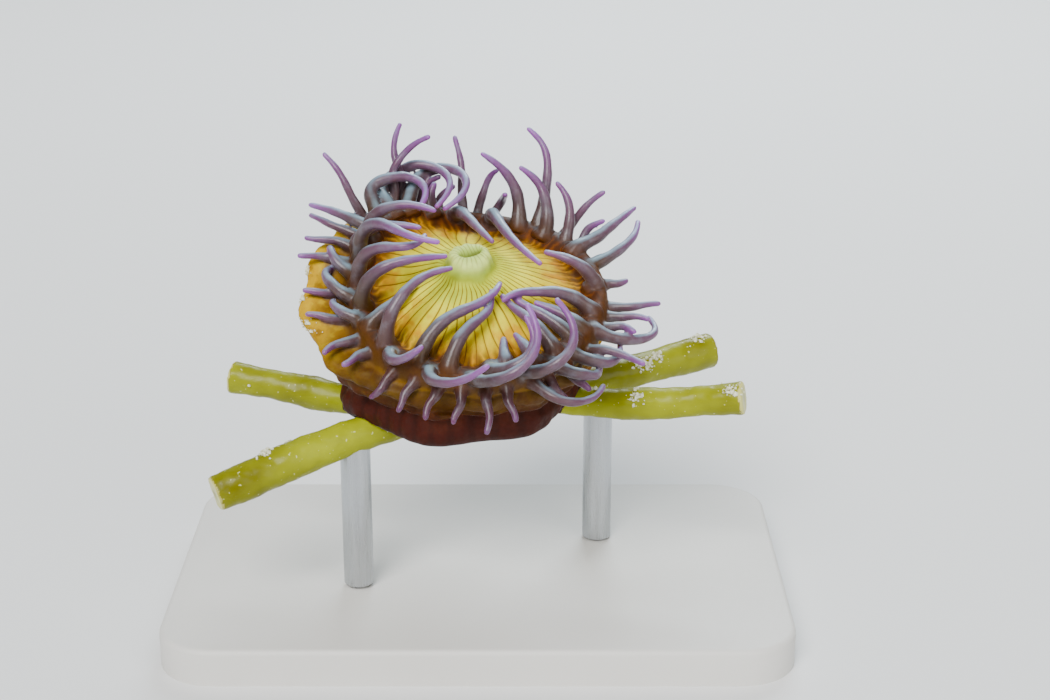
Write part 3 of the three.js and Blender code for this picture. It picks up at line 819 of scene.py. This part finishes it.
def makeRod(name, under):
    low = stand["thickness"] + stand["rodGap"]
    top = perchHeight + under[2] - stem["radius"] + stand["rodSink"]
    middle = (under[0] * mm, under[1] * mm, (top + low) / 2 * mm)
    bpy.ops.mesh.primitive_cylinder_add(vertices=stand["rodSides"], radius=stand["rodRadius"] * mm,
                                        depth=(top - low) * mm, location=middle)
    piece = bpy.context.object
    piece.name = name
    bpy.ops.object.transform_apply()
    bevelEdges(piece, stand["rodBevel"], stand["rodBevelSteps"],
               lambda a, b: abs(a.z - b.z) < 0.1 * mm and min(a.z, b.z) > low * mm)
    bpy.ops.object.shade_smooth_by_angle(angle=math.radians(stand["rodSmoothBelow"]))
    return piece


# Materials. Colours are written as they look on a screen, 0 to 255.
def tone(*levels):
    return tuple(((c / 255 + 0.055) / 1.055) ** 2.4 if c > 10 else c / 255 / 12.92 for c in levels) + (1,)


# A finish is one material. Most of its methods add nodes and give back the socket to read.
class Finish:
    def __init__(self, name):
        self.material = bpy.data.materials.new(name)
        self.material.use_nodes = True
        self.tree = self.material.node_tree
        self.shader = self.tree.nodes["Principled BSDF"]

    def put(self, socket, value):
        if hasattr(value, "is_output"):
            self.tree.links.new(value, socket)
        else:
            socket.default_value = value

    def node(self, kind, settings=None, **inputs):
        made = self.tree.nodes.new("ShaderNode" + kind)
        for name, value in (settings or {}).items():
            setattr(made, name, value)
        for name, value in inputs.items():
            self.put(made.inputs[int(name[1:]) if name[1:].isdigit() else name], value)
        return made

    def reckon(self, operation, first, second=0.0):
        return self.node("Math", {"operation": operation}, _0=first, _1=second).outputs[0]

    def times(self, first, *others):
        for other in others:
            first = self.reckon("MULTIPLY", first, other)
        return first

    def without(self, share):
        return self.reckon("SUBTRACT", 1.0, share)

    def between(self, value, low, high):
        settings = {"interpolation_type": "SMOOTHSTEP"}
        return self.node("MapRange", settings, Value=value, _1=low, _2=high).outputs[0]

    def band(self, value, low, full, fade, end):
        return self.times(self.between(value, low, full), self.without(self.between(value, fade, end)))

    def scaled(self, value, low, high, toLow, toHigh):
        return self.node("MapRange", Value=value, _1=low, _2=high, _3=toLow, _4=toHigh).outputs[0]

    def wave(self, angle, count, shift=0.0):
        return self.reckon("SINE", self.reckon("ADD", self.times(angle, count), shift))

    def ridges(self, angle, count, shift):
        return self.reckon("ABSOLUTE", self.wave(angle, count, shift))

    def mix(self, share, a, b, blend="MIX"):
        made = self.node("Mix", {"data_type": "RGBA", "blend_type": blend}, _0=share, _6=a, _7=b)
        return made.outputs[2]

    def tint(self, base, colour, *shares):
        return self.mix(self.times(*shares), base, tone(*colour))

    def ramp(self, value, stops):
        made = self.node("ValToRGB", Fac=value)
        ramp = made.color_ramp
        while len(ramp.elements) < len(stops):
            ramp.elements.new(0.5)
        for element, (place, colour) in zip(ramp.elements, stops.items()):
            element.position = place
            element.color = tone(*colour)
        return made.outputs["Color"]

    def noise(self, place, scale, detail, roughness=0.5):
        made = self.node("TexNoise", Vector=place, Scale=scale, Detail=detail, Roughness=roughness)
        return made.outputs["Fac"]

    def objectPlace(self):
        return self.node("TexCoord").outputs["Object"]

    def attribute(self, name):
        return self.node("Attribute", {"attribute_name": name}).outputs["Vector"]

    def split(self, vector):
        return self.node("SeparateXYZ", Vector=vector).outputs

    def bump(self, height, distance, strength=1.0):
        return self.node("Bump", Height=height, Distance=distance, Strength=strength).outputs["Normal"]

    def use(self, **values):
        for name, value in values.items():
            self.put(self.shader.inputs[name.replace("_", " ")], value)
        return self.material


# Noise scales on the object are per metre, and bumps are in metres.
fleshLook = dict(broad=260, patch=620, fine=2200, vary=4.5, bump=0.00004, streaks=36.0, lineWidth=(0.16, 0.5),
                 roughness=(0.56, 0.74), armGloss=0.24, armCoat=0.42)

# The body's colours, each at its zone.
bodyStops = {0.0: (40, 8, 2), 0.9: (62, 16, 4), 1.3: (92, 36, 2), 1.7: (132, 76, 0),
             2.15: (170, 124, 0), 2.7: (204, 162, 0), 2.95: (150, 108, 0), 3.2: (90, 58, 8),
             3.75: (84, 42, 2), 4.02: (120, 62, 0), 4.12: (206, 146, 0), 4.28: (232, 200, 0),
             4.5: (242, 228, 0), 4.75: (242, 238, 40), 4.92: (206, 216, 40), 5.03: (172, 184, 30),
             5.15: (186, 208, 70), 5.45: (222, 242, 130), 5.7: (170, 196, 84), 5.9: (84, 92, 16)}

# The tentacles' colours, from root to tip: olive brown, grey lilac and mauve.
armStops = {0.0: (58, 34, 8), 0.1: (70, 52, 34), 0.3: (84, 66, 72), 0.55: (106, 72, 102),
            0.8: (132, 78, 144), 1.0: (162, 90, 188)}


def bodyColour(paint, angle, side, zone, broad, patch, vary, wander):
    shifted = paint.reckon("ADD", zone, paint.times(paint.reckon("SUBTRACT", broad, 0.5), 0.5))
    stops = {level / 6: shade for level, shade in bodyStops.items()}
    colour = paint.ramp(paint.reckon("DIVIDE", shifted, 6.0), stops)

    # The column is blotched with yellow and brown, the foot is darkened in its pleats' hollows as painted
    # shade, and the front is darker brown, partly painted shade under the crown.
    onColumn = paint.band(zone, 1.2, 2.0, 2.8, 3.2)
    colour = paint.tint(colour, (220, 186, 0), paint.between(patch, 0.5, 0.68), onColumn, 0.6)
    brown = paint.without(paint.between(patch, 0.3, 0.46))
    colour = paint.tint(colour, (100, 48, 0), brown, onColumn, 0.5)
    pleat = paint.wave(angle, body["pleats"], paint.times(paint.wave(angle, 3.0), 3.0))
    onFoot = paint.band(zone, 0.4, 0.7, 1.2, 2.0)
    # Painted shade in the pleats' hollows, where the same wave pulls the foot in.
    colour = paint.tint(colour, (28, 4, 0), paint.between(pleat, 0.0, -0.9), onFoot, 0.35)
    # The front is darkened to brown, partly its tone and partly painted shade under the crown.
    brownShadedFront = paint.between(paint.times(side, -1.0), 0.0, 0.7)
    colour = paint.tint(colour, (60, 22, 0), brownShadedFront, paint.band(zone, 0.9, 1.4, 2.8, 3.2), 0.9)

    # The disc has orange near its edge, and dark streaks cross the margin.
    nearEdge = paint.band(zone, 4.0, 4.15, 4.3, 4.75)
    colour = paint.tint(colour, (210, 136, 0), paint.between(vary, 0.46, 0.64), nearEdge, 0.7)
    streak = paint.ridges(angle, fleshLook["streaks"], paint.times(vary, 9.0))
    colour = paint.tint(colour, (46, 20, 6), streak, paint.band(zone, 3.4, 3.9, 4.08, 4.3), 0.75)

    # Thin dark lines run in the furrows, from the mouth to the margin, between shaded sides.
    ridge = paint.ridges(angle, disc["lines"] / 2, wander)
    lineWidth = paint.scaled(zone, 4.0, 5.0, *fleshLook["lineWidth"])
    line = paint.without(paint.between(ridge, paint.times(lineWidth, 0.3), lineWidth))
    onDisc = paint.band(zone, 4.0, 4.1, 4.93, 5.06)
    colour = paint.tint(colour, (84, 52, 6), line, onDisc, paint.scaled(vary, 0.0, 1.0, 0.55, 1.05))
    sides = paint.without(paint.between(ridge, 0.1, 0.8))
    colour = paint.tint(colour, (176, 120, 10), sides, onDisc, 0.25)

    # Folds round the mouth are darker than the lips: painted shade in the creases between them.
    folds = paint.ridges(angle, lips["folds"], paint.times(broad, 5.0))
    creaseShade = paint.without(paint.between(folds, 0.1, 0.7))
    return paint.tint(colour, (120, 128, 44), paint.between(zone, 5.3, 5.6), creaseShade, 0.55)


# Each tentacle is a little warmer or cooler, redder and darker where it hangs low, a maroon tone with
# painted shade, and has a pale blue painted highlight on its upper side.
def armColour(paint, share, low, own, upperHighlight, patch):
    colour = paint.ramp(share, armStops)
    colour = paint.tint(colour, (98, 70, 78), own, 0.5)
    # Hanging tentacles turn dark maroon, partly their tone and partly painted shade.
    colour = paint.tint(colour, (66, 26, 24), low, 0.7)
    colour = paint.tint(colour, (136, 142, 158), paint.between(patch, 0.45, 0.7), 0.2)
    # Painted highlight, pale blue on the upper side, weaker where a tentacle hangs low.
    highlightShare = paint.reckon("SUBTRACT", 0.46, paint.times(low, 0.4))
    return paint.tint(colour, (164, 212, 234), upperHighlight, highlightShare)


def fleshFinish():
    paint = Finish("softFlesh")
    place = paint.objectPlace()
    around = paint.attribute("around")
    x, y, zone = paint.split(around)
    onArm, alongArm, low = paint.split(paint.attribute("arm"))
    own, upperHighlight, wander = paint.split(paint.attribute("own"))
    angle = paint.reckon("ARCTAN2", y, x)
    broad = paint.noise(place, fleshLook["broad"], 3)
    patch = paint.noise(place, fleshLook["patch"], 3, 0.6)
    fine = paint.noise(place, fleshLook["fine"], 3, 0.6)
    vary = paint.noise(around, fleshLook["vary"], 2)
    ofBody = bodyColour(paint, angle, y, zone, broad, patch, vary, wander)
    colour = paint.mix(onArm, ofBody, armColour(paint, alongArm, low, own, upperHighlight, patch))
    colour = paint.mix(paint.times(fine, 0.2), colour, tone(70, 44, 40), "MULTIPLY")
    grain = paint.scaled(fine, 0.3, 0.7, *fleshLook["roughness"])
    roughness = paint.reckon("SUBTRACT", grain, paint.times(onArm, fleshLook["armGloss"]))
    return paint.use(Base_Color=colour, Roughness=roughness, Normal=paint.bump(fine, fleshLook["bump"], 0.7),
                     Subsurface_Weight=0.4, Subsurface_Radius=(1.0, 0.7, 0.6), Subsurface_Scale=0.0007,
                     Specular_IOR_Level=0.16, Coat_Weight=paint.times(onArm, fleshLook["armCoat"]),
                     Coat_Roughness=0.26, Sheen_Weight=0.3, Sheen_Roughness=0.15,
                     Sheen_Tint=tone(206, 226, 255))


# Wet olive skin with pale specks, and a pale heart with a dark rim on each cut.
def seaweedFinish():
    paint = Finish("wetSeaweed")
    place = paint.objectPlace()
    broad = paint.noise(place, 120, 3)
    fine = paint.noise(place, 1500, 3, 0.6)
    colour = paint.ramp(broad, {0.25: (84, 78, 0), 0.45: (122, 124, 0), 0.7: (152, 158, 0)})
    speck = paint.between(paint.noise(place, 2600, 1), 0.71, 0.76)
    colour = paint.tint(colour, (214, 218, 150), speck, 0.7)
    cut = paint.split(paint.attribute("cut"))[0]
    rings = {0.0: (128, 122, 46), 0.35: (196, 196, 120), 0.75: (206, 202, 120), 0.9: (120, 112, 26)}
    heart = paint.ramp(paint.reckon("DIVIDE", cut, stem["heart"]), rings)
    colour = paint.mix(paint.reckon("LESS_THAN", cut, stem["cutRim"]), colour, heart)
    return paint.use(Base_Color=colour, Roughness=paint.scaled(broad, 0.3, 0.7, 0.28, 0.45),
                     Normal=paint.bump(fine, 0.00004, 0.6), Subsurface_Weight=0.12,
                     Subsurface_Radius=(0.8, 1.0, 0.2), Subsurface_Scale=0.0006, Specular_IOR_Level=0.16,
                     Coat_Weight=0.06, Coat_Roughness=0.2)


def gritFinish():
    paint = Finish("paleGrit")
    spots = paint.noise(paint.objectPlace(), 3000, 2)
    colour = paint.ramp(spots, {0.3: (170, 166, 128), 0.6: (232, 234, 208)})
    return paint.use(Base_Color=colour, Roughness=0.7, Normal=paint.bump(spots, 0.00004))


def boardFinish():
    paint = Finish("paintedBoard")
    place = paint.objectPlace()
    fine = paint.noise(place, 2400, 4, 0.6)
    colour = paint.mix(paint.noise(place, 60, 2), tone(206, 204, 198), tone(216, 214, 209))
    return paint.use(Base_Color=colour, Roughness=paint.scaled(fine, 0.3, 0.7, 0.45, 0.6),
                     Normal=paint.bump(fine, 0.00002))


# The grain of the steel is drawn out along the rod.
def rodFinish():
    paint = Finish("satinSteel")
    mapped = paint.node("Mapping", Vector=paint.objectPlace(), Scale=(1, 1, 0.04)).outputs[0]
    streak = paint.noise(mapped, 9000, 3)
    colour = paint.mix(streak, tone(168, 172, 176), tone(196, 199, 202))
    return paint.use(Base_Color=colour, Metallic=1.0, Roughness=paint.scaled(streak, 0.3, 0.7, 0.22, 0.4),
                     Normal=paint.bump(streak, 0.00001))


def floorFinish():
    paint = Finish("paleFloor")
    broad = paint.noise(paint.objectPlace(), 3, 2)
    return paint.use(Base_Color=paint.mix(broad, tone(222, 223, 222), tone(230, 230, 229)), Roughness=0.7)


def dress(piece, material, slot, *nodes):
    piece.data.materials.clear()
    piece.data.materials.append(material)
    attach(piece, "root")
    if nodes:
        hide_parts(*nodes)


def makeFlesh():
    lines = settle([middleLine(*one) for one in tentacles])
    print("tentacles settled")
    master = makeTube("tentacle", tentacle["sides"], tentacle["lengthRings"] + tentacle["tipRings"])
    arms = [makeTentacle(master, index, line) for index, line in enumerate(lines)]
    bpy.data.objects.remove(master)
    print("tentacles bent:", len(arms))
    whole = makeBody()
    pick(whole, *arms)
    bpy.ops.object.join()
    print("body joined:", len(whole.data.polygons), "faces")
    return wrapSkin(whole)


flesh = makeFlesh()
crownNodes = [name for name in frame["nodes"] if name.startswith("crown_sector_")]
dress(flesh, fleshFinish(), "tentacle_skin",
      "pedal_disc", "column", "collar", "oral_disc", "mouth", *crownNodes)
seaweed = makeSeaweed()
dress(seaweed, seaweedFinish(), "seaweed", "perch_stem", "perch_branch_left", "perch_branch_right")
dress(makeGrit(seaweed, flesh), gritFinish(), "seaweed")
print("seaweed and grit made")
dress(makeBase(), boardFinish(), "stand_plate", "stand_base")
steel = rodFinish()
dress(makeRod("rodLeft", stem["route"][1]), steel, "stand_metal", "stand_rod_left")
dress(makeRod("rodRight", stem["route"][3]), steel, "stand_metal", "stand_rod_right")
print("stand made")

# Floor and light. A sun's size is an angle in degrees, and an area light's is in metres.
studio = dict(floor=20.0, world=0.26, aim=(0, 0, 0.03), lights=[
    dict(kind="SUN", name="key", place=(-0.15, -0.36, 0.42), power=4.5, size=32),
    dict(kind="AREA", name="fill", place=(0.38, -0.42, 0.28), power=1.6, size=0.4),
    dict(kind="AREA", name="rim", place=(0.1, 0.42, 0.4), power=3.2, size=0.3, tint=(0.82, 0.93, 1))])


def makeFloor():
    bpy.ops.mesh.primitive_plane_add(size=studio["floor"])
    floor = bpy.context.object
    floor.name = "floor"
    floor.data.materials.append(floorFinish())


def addLight(kind, name, place, power, size, tint=(1, 1, 1)):
    bpy.ops.object.light_add(type=kind, location=place)
    light = bpy.context.object
    light.name = name
    light.data.energy = power
    light.data.color = tint
    if kind == "SUN":
        light.data.angle = math.radians(size)
    else:
        light.data.size = size
    aim = Vector(studio["aim"]) - Vector(place)
    light.rotation_euler = aim.to_track_quat("-Z", "Y").to_euler()


def lightStudio():
    for light in studio["lights"]:
        addLight(**light)
    world = bpy.data.worlds.new("studio")
    world.use_nodes = True
    sky = world.node_tree.nodes["Background"].inputs
    sky["Color"].default_value = (1, 1, 1, 1)
    sky["Strength"].default_value = studio["world"]
    bpy.context.scene.world = world


makeFloor()
lightStudio()
print("studio lit")
